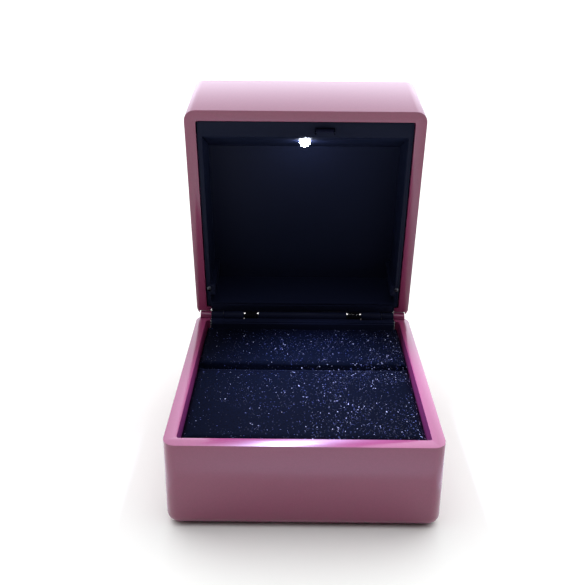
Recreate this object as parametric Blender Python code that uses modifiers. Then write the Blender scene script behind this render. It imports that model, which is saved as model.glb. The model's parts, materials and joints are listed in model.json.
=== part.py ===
"""Lacquered ring box: a hinged lid with a small light, and a two-piece ring cushion in the base.

Metres, +Z up, +Y towards the hinge, origin at the centre of the resting face.
Every piece is modelled with the box shut. The lid's pieces hang on an empty on the hinge
axis, and that empty turns back by OPEN_ANGLE to give the open pose.
"""

import math

import bmesh
import bpy
from mathutils import Matrix, Vector

MM = 0.001
CLEAR = 0.3 * MM  # gap between neighbouring pieces

# Overall sizes
WIDTH = 65.0 * MM
DEPTH = 67.0 * MM
RIM_HEIGHT = 22.8 * MM  # base rim above the resting face
LID_HEIGHT = 26.0 * MM
PARTING = 0.3 * MM  # gap between the rims when shut
OPEN_ANGLE = math.radians(79.5)

# Shells
WALL = 3.0 * MM
CORNER = 3.0 * MM
INNER_CORNER = 0.6 * MM
FOOT_FILLET = 2.5 * MM
CROWN_FILLET = 2.0 * MM
SHELL_LIFT = 0.4 * MM  # base shell above the surface that the underlay stands on
FLOOR = 2.7 * MM
CROWN = 2.5 * MM

# Underlay
UNDERLAY = 0.8 * MM
UNDERLAY_INSET = 4.5 * MM

# Liners
LINER_WALL = 1.2 * MM
LINER_FLOOR = 1.0 * MM
BASE_LINER_DROP = 4.6 * MM  # base liner below the base rim
LIP_DROP = 0.4 * MM  # lid liner behind the lid rim
BAY = 7.3 * MM  # room for the electronics under the crown
DECK_FOOT = 3.1 * MM  # flat lip before the sloping deck starts
DECK_RUN = 9.0 * MM

# Hinge
RAIL_INSET = 1.5 * MM  # rail end from the shell's inner side face
RAIL_HEIGHT = 3.0 * MM
KNUCKLE_RADIUS = 1.5 * MM
KNUCKLE_GAP = 0.12 * MM
PIN_RADIUS = 0.6 * MM
PIN_PLAY = 0.1 * MM
OUTER_KNUCKLE = 3.6 * MM
LID_KNUCKLE = 6.1 * MM
SPRING_LENGTH = 4.4 * MM
INNER_KNUCKLE = 12.6 * MM
PIN_HOLD = 3.4 * MM  # pin inside the inner knuckle
EAR_INSET = 1.1 * MM  # base ear's end from the side of the box
EAR_GAP = 0.1 * MM
SPRING_WIRE = 0.25 * MM
SPRING_RADIUS = 1.15 * MM
SPRING_TURNS = 6
SPRING_LEG = 2.8 * MM
HEEL_THICK = 1.0 * MM
HEEL_REACH = 2.5 * MM

# Cushions
BOARD = 1.0 * MM
CUSHION_DROP = 1.0 * MM  # cushion crowns below the base rim
CUSHION_ROUND = 0.5 * MM
REAR_CUSHION = 23.4 * MM

# Light
LED_RADIUS = 1.5 * MM
LED_FLANGE = 1.9 * MM
LED_SETBACK = 3.5 * MM  # from the deck's foot
LED_BARREL = 0.1 * MM  # straight side in front of the deck
LED_PLAY = 0.2 * MM
FLANGE_THICK = 1.1 * MM
LEAD_RADIUS = 0.25 * MM
LEAD_PITCH = 2.54 * MM
LEAD_SETBACK = 2.7 * MM  # from the liner's inner front face
LEAD_DROP = 2.2 * MM  # straight run behind the light
LEAD_EASE = 0.3 * MM
LEAD_KNEE = 0.8 * MM
LEAD_TURN = 1.8 * MM
SOLDER_TAIL = 0.7 * MM  # wire ends above the circuit board

# Circuit board and cells
PCB_THICK = 1.0 * MM
PCB_HALF = 16.0 * MM
PCB_SETBACK = 0.9 * MM
PCB_LENGTH = 31.0 * MM
PEG_RADIUS = 1.0 * MM
PEG_HALF_SPAN = 13.0 * MM
CELL_RADIUS = 4.75 * MM
CELL_THICK = 2.7 * MM
CELL_OFFSET = 6.8 * MM
CELL_SETBACK = 21.5 * MM
CLIP_THICK = 0.35 * MM
CLIP_WIDTH = 3.0 * MM
CLIP_FOOT = 1.5 * MM
RESISTOR_SIZE = Vector((3.2, 1.6, 0.6)) * MM
RESISTOR_X = -9.0 * MM
RESISTOR_SETBACK = 7.0 * MM  # from the board's front edge

# Switch
SWITCH_X = 5.3 * MM
SWITCH_HALF = 3.0 * MM
SWITCH_DEPTH = 3.8 * MM
SWITCH_HEIGHT = 4.6 * MM
PLUNGER_HALF = 2.4 * MM
PLUNGER_DEPTH = 1.4 * MM
PLUNGER_PROUD = 2.4 * MM  # tip in front of the lip when the lid is open
PLUNGER_TRAVEL = 0.8 * MM
PLUNGER_SHOULDER = 0.6 * MM
SHOULDER_THICK = 0.8 * MM
SWITCH_GAP = 2.8 * MM  # lip to switch
TERMINAL_RADIUS = 0.3 * MM
TERMINAL_PITCH = 3.0 * MM

# Liner screws
SCREW_HEAD = 0.65 * MM
SCREW_HEAD_THICK = 0.4 * MM
SCREW_RADIUS = 0.35 * MM
SCREW_LENGTH = 5.0 * MM
SCREW_SIDE = 1.1 * MM  # from the shell's inner side face
SCREW_BACK = 9.3 * MM  # from the shell's outer back face
POST_HALF = 1.0 * MM
BOSS_WALL = 0.5 * MM

# Places worked out from the sizes above
HALF_W = WIDTH / 2
HALF_D = DEPTH / 2
CAVITY_W = HALF_W - WALL
CAVITY_D = HALF_D - WALL
LINER_W = CAVITY_W - CLEAR
LINER_D = CAVITY_D - CLEAR
ROOM_W = LINER_W - LINER_WALL
ROOM_D = LINER_D - LINER_WALL
LID_RIM = RIM_HEIGHT + PARTING
LIP = LID_RIM + LIP_DROP
LIP_TOP = LIP + LINER_WALL
CEILING = LID_RIM + LID_HEIGHT - CROWN
PANEL_TOP = CEILING - BAY
PANEL = PANEL_TOP - LINER_WALL
RAIL_W = CAVITY_W - RAIL_INSET
AXIS = Vector((0.0, HALF_D, RIM_HEIGHT + PARTING / 2))
SWEEP_RADIUS = KNUCKLE_RADIUS + CLEAR
SPRING_SWEEP = SPRING_RADIUS + SPRING_WIRE + CLEAR / 2
DECK_Y = -ROOM_D + DECK_FOOT
DECK_SLOPE = DECK_RUN / (PANEL - LIP)
DECK_NORMAL = Vector((0.0, PANEL - LIP, -DECK_RUN)).normalized()
LED_POINT = Vector((0.0, DECK_Y + LED_SETBACK, LIP + LED_SETBACK / DECK_SLOPE))
PCB_Z = PANEL_TOP + CLEAR
PCB_TOP = PCB_Z + PCB_THICK
PCB_Y = -ROOM_D + PCB_SETBACK
FLOOR_TOP = SHELL_LIFT + FLOOR
CUSHION_Z = FLOOR_TOP + CLEAR + LINER_FLOOR + CLEAR + BOARD + CLEAR
CUSHION_W = ROOM_W - CLEAR
LINER_TOP = RIM_HEIGHT - BASE_LINER_DROP
PLUNGER_Y = -ROOM_D + 2 * CLEAR
SWITCH_Z = LIP_TOP + SWITCH_GAP
LEAD_Y = -ROOM_D + LEAD_SETBACK


def srgb(code):
    """Linear colour of a six-digit sRGB code."""
    parts = [int(code[i : i + 2], 16) / 255 for i in (0, 2, 4)]
    linear = [c / 12.92 if c <= 0.04045 else ((c + 0.055) / 1.055) ** 2.4 for c in parts]
    return (*linear, 1.0)


def make_material(name, code, roughness, metallic=0.0):
    material = bpy.data.materials.new(name)
    material.use_nodes = True
    shader = material.node_tree.nodes["Principled BSDF"]
    shader.inputs["Base Color"].default_value = srgb(code)
    shader.inputs["Roughness"].default_value = roughness
    shader.inputs["Metallic"].default_value = metallic
    material.diffuse_color = srgb(code)
    return material


def make_collection(name):
    collection = bpy.data.collections.new(name)
    bpy.context.scene.collection.children.link(collection)
    return collection


def mesh_object(name, bm, collection):
    """Object that owns the given bmesh, with its faces pointing out."""
    bmesh.ops.recalc_face_normals(bm, faces=bm.faces[:])
    mesh = bpy.data.meshes.new(name)
    bm.to_mesh(mesh)
    bm.free()
    obj = bpy.data.objects.new(name, mesh)
    collection.objects.link(obj)
    return obj


def bevel_edges(bm, chosen, width, segments):
    if width > 0:
        edges = [edge for edge in bm.edges if chosen(edge)]
        bmesh.ops.bevel(bm, geom=edges, offset=width, segments=segments, profile=0.5, affect="EDGES")


def flat_at(edge, height):
    return all(abs(v.co.z - height) < 1e-7 for v in edge.verts)


def upright(edge):
    a, b = (v.co for v in edge.verts)
    return abs(a.x - b.x) < 1e-7 and abs(a.y - b.y) < 1e-7


def block(name, low, high, collection, corner=0.0, foot=0.0, crown=0.0, segments=5):
    """Box from low to high, with rounded upright edges and rounded bottom and top edges."""
    low = Vector(low)
    high = Vector(high)
    bm = bmesh.new()
    size = high - low
    place = Matrix.Translation((low + high) / 2) @ Matrix.Diagonal((*size, 1.0))
    bmesh.ops.create_cube(bm, size=1.0, matrix=place)
    bevel_edges(bm, upright, corner, segments)
    bevel_edges(bm, lambda edge: flat_at(edge, low.z), foot, segments)
    bevel_edges(bm, lambda edge: flat_at(edge, high.z), crown, segments)
    return mesh_object(name, bm, collection)


def rod(name, start, end, radius, collection, sides=24):
    """Cylinder between two points."""
    start = Vector(start)
    end = Vector(end)
    run = end - start
    turn = run.to_track_quat("Z", "Y").to_matrix().to_4x4()
    bm = bmesh.new()
    bmesh.ops.create_cone(
        bm,
        cap_ends=True,
        segments=sides,
        radius1=radius,
        radius2=radius,
        depth=run.length,
        matrix=Matrix.Translation((start + end) / 2) @ turn,
    )
    return mesh_object(name, bm, collection)


def turned(name, profile, collection, steps=24):
    """Solid of revolution about its own Z; the profile's (radius, height) points run down."""
    mesh = bpy.data.meshes.new(name)
    points = [(radius, 0.0, height) for radius, height in profile]
    edges = [(i, i + 1) for i in range(len(points) - 1)]
    mesh.from_pydata(points, edges, [])
    obj = bpy.data.objects.new(name, mesh)
    collection.objects.link(obj)
    screw = obj.modifiers.new("Turn", "SCREW")
    screw.steps = steps
    screw.render_steps = steps
    screw.use_merge_vertices = True
    screw.merge_threshold = 0.00001
    return obj


def wire(name, points, radius, collection):
    """Round wire along a list of points, with closed ends."""
    curve = bpy.data.curves.new(name, "CURVE")
    curve.dimensions = "3D"
    curve.bevel_depth = radius
    curve.bevel_resolution = 2
    curve.use_fill_caps = True
    spline = curve.splines.new("POLY")
    spline.points.add(len(points) - 1)
    for slot, point in zip(spline.points, points):
        slot.co = (*point, 1.0)
    obj = bpy.data.objects.new(name, curve)
    collection.objects.link(obj)
    return obj


def side_profile(name, outline, low_x, high_x, collection):
    """Flat (y, z) outline extruded along X from low_x to high_x, as a mesh."""
    curve = bpy.data.curves.new(name, "CURVE")
    curve.dimensions = "2D"
    curve.fill_mode = "BOTH"
    curve.extrude = (high_x - low_x) / 2
    spline = curve.splines.new("POLY")
    spline.points.add(len(outline) - 1)
    for slot, (y, z) in zip(spline.points, outline):
        slot.co = (y, z, 0.0, 1.0)
    spline.use_cyclic_u = True
    flat = bpy.data.objects.new(name, curve)
    bpy.context.scene.collection.objects.link(flat)
    bpy.context.view_layer.update()
    evaluated = flat.evaluated_get(bpy.context.evaluated_depsgraph_get())
    mesh = bpy.data.meshes.new_from_object(evaluated)
    bm = bmesh.new()
    bm.from_mesh(mesh)
    bmesh.ops.remove_doubles(bm, verts=bm.verts[:], dist=0.000001)
    stand = Matrix(((0, 0, 1, (low_x + high_x) / 2), (1, 0, 0, 0), (0, 1, 0, 0), (0, 0, 0, 1)))
    bmesh.ops.transform(bm, matrix=stand, verts=bm.verts[:])
    bpy.data.meshes.remove(mesh)
    bpy.data.curves.remove(curve)
    return mesh_object(name, bm, collection)


class Builder:
    """The collections, and the list of pieces that turn with the lid."""

    def __init__(self):
        self.parts = make_collection("ring_box")
        self.cutters = make_collection("cutters")
        self.lid_pieces = []

    def change(self, target, operation, tool):
        """Cut or join the tool into the target with a Boolean modifier."""
        tool.hide_render = True
        tool.display_type = "WIRE"
        modifier = target.modifiers.new(tool.name, "BOOLEAN")
        modifier.operation = operation
        modifier.solver = "EXACT"
        modifier.object = tool
        if target in self.lid_pieces:
            self.lid_pieces.append(tool)

    def cut(self, target, tool):
        self.change(target, "DIFFERENCE", tool)

    def join(self, target, tool):
        self.change(target, "UNION", tool)

    def finish(self, obj, material, lid=False, smooth=True):
        """Give a piece its material, and its place on the lid if it turns with it."""
        obj.data.materials.append(material)
        if smooth and obj.type == "MESH":
            obj.data.shade_smooth()
            obj.data.set_sharp_from_angle(angle=math.radians(40))
        if lid:
            self.lid_pieces.append(obj)
        return obj


def knuckle_spans():
    """X ranges on the right side, from the rail's end inwards."""
    spans = {}
    end = RAIL_W
    lengths = {"outer": OUTER_KNUCKLE, "lid": LID_KNUCKLE, "spring": SPRING_LENGTH, "inner": INNER_KNUCKLE}
    for name, length in lengths.items():
        spans[name] = (end - length, end)
        end -= length + KNUCKLE_GAP
    return spans


def hinge_rod(name, span, side, radius, collection):
    """Cylinder on the hinge axis over one X range of one side."""
    start = (side * span[0], AXIS.y, AXIS.z)
    end = (side * span[1], AXIS.y, AXIS.z)
    return rod(name, start, end, radius, collection)


def pin_start():
    """X of the pins' inner ends, on the right side."""
    return knuckle_spans()["inner"][1] - PIN_HOLD


def rear_notch(tag, low_z, high_z, b):
    """Cutter for the gap in a shell's back wall that the liner's rail fills."""
    low = (-RAIL_W - CLEAR, CAVITY_D - CLEAR, low_z)
    high = (RAIL_W + CLEAR, HALF_D + WALL, high_z)
    return block(f"{tag}_notch", low, high, b.cutters)


def base_shell(b, material):
    low = (-HALF_W, -HALF_D, SHELL_LIFT)
    shell = block("base_shell", low, (HALF_W, HALF_D, RIM_HEIGHT), b.parts, CORNER, FOOT_FILLET, segments=6)
    b.finish(shell, material)
    top = RIM_HEIGHT + WALL
    room_low = (-CAVITY_W, -CAVITY_D, FLOOR_TOP)
    room = block("base_room", room_low, (CAVITY_W, CAVITY_D, top), b.cutters, INNER_CORNER, segments=3)
    b.cut(shell, room)
    pocket_w = HALF_W - UNDERLAY_INSET + CLEAR
    pocket_d = HALF_D - UNDERLAY_INSET + CLEAR
    pocket = block(
        "underlay_pocket",
        (-pocket_w, -pocket_d, -WALL),
        (pocket_w, pocket_d, UNDERLAY + CLEAR),
        b.cutters,
        CORNER - CLEAR,
        segments=4,
    )
    b.cut(shell, pocket)
    b.cut(shell, rear_notch("base", RIM_HEIGHT - RAIL_HEIGHT - CLEAR, top, b))
    for side, word in ((-1, "left"), (1, "right")):
        b.join(shell, hinge_rod(f"ear_{word}", ear_span(), side, KNUCKLE_RADIUS, b.cutters))


def ear_span():
    """X range on the right side of the shell's ears, which close the hinge's ends."""
    return (RAIL_W + EAR_GAP, HALF_W - EAR_INSET)


def base_underlay(b, material):
    half_w = HALF_W - UNDERLAY_INSET
    half_d = HALF_D - UNDERLAY_INSET
    high = (half_w, half_d, UNDERLAY)
    pad = block("base_underlay", (-half_w, -half_d, 0.0), high, b.parts, CORNER - 2 * CLEAR)
    b.finish(pad, material)


def cut_sweep(target, tag, span, b, radius=SWEEP_RADIUS):
    """Clear a piece around one hinge piece of the other half, on both sides."""
    wide = (span[0] - CLEAR, span[1] + CLEAR)
    for side, word in ((-1, "left"), (1, "right")):
        b.cut(target, hinge_rod(f"{tag}_sweep_{word}", wide, side, radius, b.cutters))


def add_knuckles(liner, tag, span, b):
    """Join a knuckle to the rail on both sides and bore it for the pin."""
    for side, word in ((-1, "left"), (1, "right")):
        b.join(liner, hinge_rod(f"{tag}_knuckle_{word}", span, side, KNUCKLE_RADIUS, b.cutters))
    add_bores(liner, tag, span, b)


def add_bores(liner, tag, span, b):
    bore = (span[0] - CLEAR / 2, span[1] + CLEAR / 2)
    for side, word in ((-1, "left"), (1, "right")):
        b.cut(liner, hinge_rod(f"{tag}_bore_{word}", bore, side, PIN_RADIUS + PIN_PLAY, b.cutters))


def middle_rod(name, reach, radius, b):
    """Cylinder on the hinge axis across the middle of the box."""
    return hinge_rod(name, (-reach, reach), 1, radius, b.cutters)


def base_liner(b, material):
    low_z = FLOOR_TOP + CLEAR
    high = (LINER_W, LINER_D, LINER_TOP)
    liner = block("base_liner", (-LINER_W, -LINER_D, low_z), high, b.parts, INNER_CORNER, segments=3)
    b.finish(liner, material)
    room = block(
        "liner_room", (-ROOM_W, -ROOM_D, low_z + LINER_FLOOR), (ROOM_W, ROOM_D, RIM_HEIGHT + WALL), b.cutters
    )
    b.cut(liner, room)
    mid_wall = LINER_D - LINER_WALL / 2
    stem_low = (-RAIL_W + CLEAR, ROOM_D, LINER_TOP - RAIL_HEIGHT)
    stem_high = (RAIL_W - CLEAR, LINER_D - CLEAR / 2, RIM_HEIGHT - CLEAR)
    b.join(liner, block("rail_stem", stem_low, stem_high, b.cutters))
    rail_low = (-RAIL_W, mid_wall, RIM_HEIGHT - RAIL_HEIGHT)
    b.join(liner, block("base_rail", rail_low, (RAIL_W, HALF_D, RIM_HEIGHT), b.cutters))
    spans = knuckle_spans()
    cut_sweep(liner, "base_lid", spans["lid"], b)
    cut_sweep(liner, "base_spring", spans["spring"], b, SPRING_SWEEP)
    add_knuckles(liner, "base_outer", spans["outer"], b)
    inner_end = spans["inner"][1]
    b.join(liner, middle_rod("middle_knuckle", inner_end, KNUCKLE_RADIUS, b))
    add_bores(liner, "base_inner", (pin_start(), inner_end), b)


def cushion_board(b, material):
    low_z = CUSHION_Z - CLEAR - BOARD
    half_d = ROOM_D - CLEAR
    board = block("cushion_board", (-CUSHION_W, -half_d, low_z), (CUSHION_W, half_d, low_z + BOARD), b.parts)
    b.finish(board, material)


def cushions(b, material):
    """Two padded blocks that hold a ring's band between them, each wide enough on top to hide the liner."""
    half_w = CAVITY_W - CLEAR
    front = -CAVITY_D + CLEAR
    rear = ROOM_D - CLEAR
    split = rear - REAR_CUSHION
    top = RIM_HEIGHT - CUSHION_DROP
    step = LINER_TOP + CLEAR
    low_z = CUSHION_Z - CLEAR
    for name, low_y, high_y in (("front_cushion", front, split - CLEAR), ("rear_cushion", split, rear)):
        low = (-half_w, low_y, CUSHION_Z)
        pad = block(name, low, (half_w, high_y, top), b.parts, crown=CUSHION_ROUND, segments=4)
        b.finish(pad, material)
        for side, word in ((-1, "left"), (1, "right")):
            xs = sorted((side * CUSHION_W, side * HALF_W))
            under = block(f"{name}_{word}", (xs[0], -HALF_D, low_z), (xs[1], HALF_D, step), b.cutters)
            b.cut(pad, under)
        if low_y == front:
            under_high = (HALF_W, -ROOM_D + CLEAR, step)
            b.cut(pad, block(f"{name}_under", (-HALF_W, -HALF_D, low_z), under_high, b.cutters))


def hinge_pins(b, material):
    spans = knuckle_spans()
    span = (pin_start() - CLEAR / 2, spans["outer"][1])
    for side, word in ((-1, "left"), (1, "right")):
        pin = hinge_rod(f"hinge_pin_{word}", span, side, PIN_RADIUS, b.parts)
        b.finish(pin, material)


def hinge_springs(b, material):
    """Torsion springs round the pins, each with a leg down the back of the base."""
    low, high = knuckle_spans()["spring"]
    steps = 14
    coil = high - low - 2 * SPRING_WIRE
    for side, word in ((-1, "left"), (1, "right")):
        points = [(side * (low + SPRING_WIRE), AXIS.y + SPRING_RADIUS, AXIS.z - SPRING_LEG)]
        for i in range(SPRING_TURNS * steps + 1):
            angle = 2 * math.pi * i / steps
            x = side * (low + SPRING_WIRE + coil * i / (SPRING_TURNS * steps))
            across = SPRING_RADIUS * math.cos(angle)
            up = SPRING_RADIUS * math.sin(angle)
            points.append((x, AXIS.y + across, AXIS.z + up))
        spring = wire(f"hinge_spring_{word}", points, SPRING_WIRE, b.parts)
        b.finish(spring, material)


def lid_shell(b, material):
    low = (-HALF_W, -HALF_D, LID_RIM)
    high = (HALF_W, HALF_D, LID_RIM + LID_HEIGHT)
    shell = block("lid_shell", low, high, b.parts, CORNER, crown=CROWN_FILLET, segments=6)
    b.finish(shell, material, lid=True)
    low_z = LID_RIM - WALL
    room_low = (-CAVITY_W, -CAVITY_D, low_z)
    room = block("lid_room", room_low, (CAVITY_W, CAVITY_D, CEILING), b.cutters, INNER_CORNER, segments=3)
    b.cut(shell, room)
    b.cut(shell, rear_notch("lid", low_z, LID_RIM + RAIL_HEIGHT + CLEAR, b))
    cut_sweep(shell, "ear", ear_span(), b)
    for side, word in ((-1, "left"), (1, "right")):
        centre = screw_centre(side)
        inner = side * (CAVITY_W - SCREW_SIDE - POST_HALF)
        outer = side * (CAVITY_W + WALL / 2)
        low = (min(inner, outer), centre.y - POST_HALF, LIP_TOP + CLEAR)
        high = (max(inner, outer), centre.y + POST_HALF, CEILING + CROWN / 2)
        b.join(shell, block(f"post_{word}", low, high, b.cutters))
        start = centre - Vector((0, 0, CLEAR))
        end = centre + Vector((0, 0, SCREW_LENGTH + 2 * CLEAR))
        b.cut(shell, rod(f"post_hole_{word}", start, end, SCREW_RADIUS + CLEAR / 2, b.cutters, sides=16))


def screw_centre(side):
    """Point on the lip under a liner screw's head."""
    return Vector((side * (CAVITY_W - SCREW_SIDE), HALF_D - SCREW_BACK, LIP))


def lid_liner(b, material):
    low = (-LINER_W, -LINER_D, LIP)
    liner = block("lid_liner", low, (LINER_W, LINER_D, CEILING - CLEAR), b.parts, INNER_CORNER, segments=3)
    b.finish(liner, material, lid=True)
    below = LIP - LINER_WALL
    room = [(DECK_Y, below), (DECK_Y, LIP), (DECK_Y + DECK_RUN, PANEL), (ROOM_D, PANEL), (ROOM_D, below)]
    b.cut(liner, side_profile("lid_liner_room", room, -ROOM_W, ROOM_W, b.cutters))
    back = LINER_WALL / DECK_NORMAL.y
    foot = DECK_Y + LINER_WALL * DECK_SLOPE - back
    head = DECK_Y + (PANEL_TOP - LIP) * DECK_SLOPE - back
    above = CEILING + CLEAR
    bay = [(-ROOM_D, LIP_TOP), (foot, LIP_TOP), (head, PANEL_TOP), (ROOM_D, PANEL_TOP)]
    bay += [(ROOM_D, above), (-ROOM_D, above)]
    b.cut(liner, side_profile("lid_liner_bay", bay, -ROOM_W, ROOM_W, b.cutters))
    liner_bosses(liner, b)
    mid_wall = LINER_D - LINER_WALL / 2
    rail_high = (RAIL_W, HALF_D, LID_RIM + RAIL_HEIGHT)
    b.join(liner, block("lid_rail", (-RAIL_W, mid_wall, LID_RIM), rail_high, b.cutters))
    spans = knuckle_spans()
    cut_sweep(liner, "lid_outer", spans["outer"], b)
    b.cut(liner, middle_rod("lid_middle_sweep", spans["inner"][1] + CLEAR, SWEEP_RADIUS, b))
    cut_sweep(liner, "lid_spring", spans["spring"], b, SPRING_SWEEP)
    add_knuckles(liner, "lid", spans["lid"], b)
    liner_heels(liner, spans["lid"], b)
    liner_openings(liner, b)


def liner_bosses(liner, b):
    """Hollow bosses round the shell's posts, closed by a floor under each screw's head."""
    for side, word in ((-1, "left"), (1, "right")):
        centre = screw_centre(side)
        half = POST_HALF + CLEAR
        inner = side * (CAVITY_W - SCREW_SIDE - half)
        skin = inner - side * BOSS_WALL
        outer = side * (LINER_W - LINER_WALL / 2)
        low = (min(skin, outer), centre.y - half - BOSS_WALL, LIP)
        high = (max(skin, outer), centre.y + half + BOSS_WALL, CEILING - 2 * CLEAR)
        b.join(liner, block(f"boss_{word}", low, high, b.cutters))
        low = (min(inner, side * HALF_W), centre.y - half, LIP_TOP)
        high = (max(inner, side * HALF_W), centre.y + half, CEILING + CLEAR)
        b.cut(liner, block(f"boss_room_{word}", low, high, b.cutters))
        start = centre - Vector((0, 0, CLEAR))
        end = centre + Vector((0, 0, LINER_WALL + CLEAR))
        b.cut(liner, rod(f"boss_hole_{word}", start, end, SCREW_RADIUS + CLEAR / 2, b.cutters, sides=16))


def liner_heels(liner, span, b):
    """Stops behind the lid knuckles: open, they lie against the back of the base's rail."""
    shut = Matrix.Rotation(OPEN_ANGLE, 3, "X")
    for side, word in ((-1, "left"), (1, "right")):
        xs = sorted((side * span[0], side * span[1]))
        low = (xs[0], CLEAR, -HEEL_REACH)
        high = (xs[1], CLEAR + HEEL_THICK, -PIN_RADIUS - PIN_PLAY)
        heel = block(f"heel_{word}", low, high, b.cutters)
        heel.data.transform(Matrix.Translation(AXIS) @ shut.to_4x4())
        b.join(liner, heel)


def liner_openings(liner, b):
    """Hole for the light, slot for the plunger and pegs for the circuit board."""
    depth = DECK_NORMAL * 2 * LINER_WALL
    b.cut(liner, rod("led_hole", LED_POINT - depth, LED_POINT + depth, LED_RADIUS + LED_PLAY, b.cutters))
    low = (SWITCH_X - PLUNGER_HALF - CLEAR, PLUNGER_Y - CLEAR, LIP - CLEAR)
    high = (SWITCH_X + PLUNGER_HALF + CLEAR, PLUNGER_Y + PLUNGER_DEPTH + CLEAR, LIP_TOP + CLEAR)
    b.cut(liner, block("plunger_slot", low, high, b.cutters))
    for x, y, word in peg_places():
        start = (x, y, PANEL_TOP - LINER_WALL / 2)
        b.join(liner, rod(f"peg_{word}", start, (x, y, PCB_TOP + CLEAR), PEG_RADIUS, b.cutters, sides=16))


def peg_places():
    near = PCB_Y + PCB_LENGTH / 2
    far = PCB_Y + PCB_LENGTH - 3 * PEG_RADIUS
    for x, side in ((-PEG_HALF_SPAN, "left"), (PEG_HALF_SPAN, "right")):
        for y, end in ((near, "near"), (far, "far")):
            yield x, y, f"{side}_{end}"


def led_lens(b, material):
    """Domed light standing out of the deck, its flange behind it."""
    shoulder = -LINER_WALL - CLEAR
    steps = 6
    profile = []
    for i in range(steps + 1):
        angle = math.pi / 2 * (1 - i / steps)
        profile.append((LED_RADIUS * math.cos(angle), LED_BARREL + LED_RADIUS * math.sin(angle)))
    profile[0] = (0.0, LED_BARREL + LED_RADIUS)
    profile += [(LED_RADIUS, shoulder), (LED_FLANGE, shoulder), (LED_FLANGE, shoulder - FLANGE_THICK)]
    profile.append((0.0, shoulder - FLANGE_THICK))
    lens = turned("led_lens", profile, b.parts)
    lens.location = LED_POINT
    lens.rotation_mode = "QUATERNION"
    lens.rotation_quaternion = DECK_NORMAL.to_track_quat("Z", "X")
    b.finish(lens, material, lid=True, smooth=False)


def led_leads(b, material):
    """Two wires from the light's base up through the circuit board."""
    base = LED_POINT - DECK_NORMAL * (LINER_WALL + 2 * CLEAR + FLANGE_THICK)
    knee = LED_POINT - DECK_NORMAL * (LINER_WALL + FLANGE_THICK + LEAD_DROP)
    for side, word in ((-1, "anode"), (1, "cathode")):
        x = side * LEAD_PITCH / 2
        route = [base, knee]
        route.append(Vector((0, LEAD_Y + LEAD_EASE, knee.z + LEAD_KNEE)))
        route.append(Vector((0, LEAD_Y, knee.z + LEAD_TURN)))
        route.append(Vector((0, LEAD_Y, PCB_TOP + SOLDER_TAIL)))
        points = [(x, p.y, p.z) for p in route]
        lead = wire(f"led_lead_{word}", points, LEAD_RADIUS, b.parts)
        b.finish(lead, material, lid=True)


def circuit_board(b, material):
    high = (PCB_HALF, PCB_Y + PCB_LENGTH, PCB_TOP)
    board = block("circuit_board", (-PCB_HALF, PCB_Y, PCB_Z), high, b.parts)
    b.finish(board, material, lid=True, smooth=False)
    holes = [(side * LEAD_PITCH / 2, LEAD_Y, LEAD_RADIUS, f"lead_{side}") for side in (-1, 1)]
    holes += [(x, terminal_y(), TERMINAL_RADIUS, f"terminal_{word}") for x, word in terminal_places()]
    holes += [(x, y, PEG_RADIUS, f"peg_{word}") for x, y, word in peg_places()]
    for x, y, radius, word in holes:
        start = (x, y, PCB_Z - CLEAR)
        end = (x, y, PCB_TOP + CLEAR)
        b.cut(board, rod(f"board_hole_{word}", start, end, radius + CLEAR, b.cutters, sides=16))


def coin_cells(b, material):
    y = PCB_Y + CELL_SETBACK
    low_z = PCB_TOP + CLEAR
    for x, word in ((-CELL_OFFSET, "left"), (CELL_OFFSET, "right")):
        top = (x, y, low_z + CELL_THICK)
        cell = rod(f"coin_cell_{word}", (x, y, low_z), top, CELL_RADIUS, b.parts, sides=32)
        b.finish(cell, material, lid=True)


def battery_clips(b, material):
    """Sprung straps over the cells, with feet on the circuit board."""
    y = PCB_Y + CELL_SETBACK
    inner = CELL_RADIUS + CLEAR
    outer = inner + CLIP_THICK
    low = PCB_TOP + CLEAR
    top = low + CELL_THICK + CLEAR
    half = [
        (outer + CLIP_FOOT, low),
        (outer + CLIP_FOOT, low + CLIP_THICK),
        (outer, low + CLIP_THICK),
        (outer, top + CLIP_THICK),
    ]
    under = [(inner, top), (inner, low)]
    outline = [(y + dy, z) for dy, z in half]
    outline += [(y - dy, z) for dy, z in reversed(half)]
    outline += [(y - dy, z) for dy, z in reversed(under)]
    outline += [(y + dy, z) for dy, z in under]
    for x, word in ((-CELL_OFFSET, "left"), (CELL_OFFSET, "right")):
        clip = side_profile(f"battery_clip_{word}", outline, x - CLIP_WIDTH / 2, x + CLIP_WIDTH / 2, b.parts)
        b.finish(clip, material, lid=True, smooth=False)


def resistor(b, material):
    low = Vector((RESISTOR_X, PCB_Y + RESISTOR_SETBACK, PCB_TOP + CLEAR))
    chip = block("resistor", low, low + RESISTOR_SIZE, b.parts)
    b.finish(chip, material, lid=True, smooth=False)


def terminal_y():
    return -ROOM_D + CLEAR + SWITCH_DEPTH / 2


def terminal_places():
    return ((SWITCH_X - TERMINAL_PITCH / 2, "left"), (SWITCH_X + TERMINAL_PITCH / 2, "right"))


def switch_body(b, material):
    low = (SWITCH_X - SWITCH_HALF, -ROOM_D + CLEAR, SWITCH_Z)
    high = (SWITCH_X + SWITCH_HALF, -ROOM_D + CLEAR + SWITCH_DEPTH, SWITCH_Z + SWITCH_HEIGHT)
    body = block("switch_body", low, high, b.parts, INNER_CORNER, segments=2)
    b.finish(body, material, lid=True)


def switch_terminals(b, material):
    for x, word in terminal_places():
        start = (x, terminal_y(), SWITCH_Z + SWITCH_HEIGHT + CLEAR)
        end = (x, terminal_y(), PCB_TOP + SOLDER_TAIL)
        pin = rod(f"switch_terminal_{word}", start, end, TERMINAL_RADIUS, b.parts, sides=12)
        b.finish(pin, material, lid=True)


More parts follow.
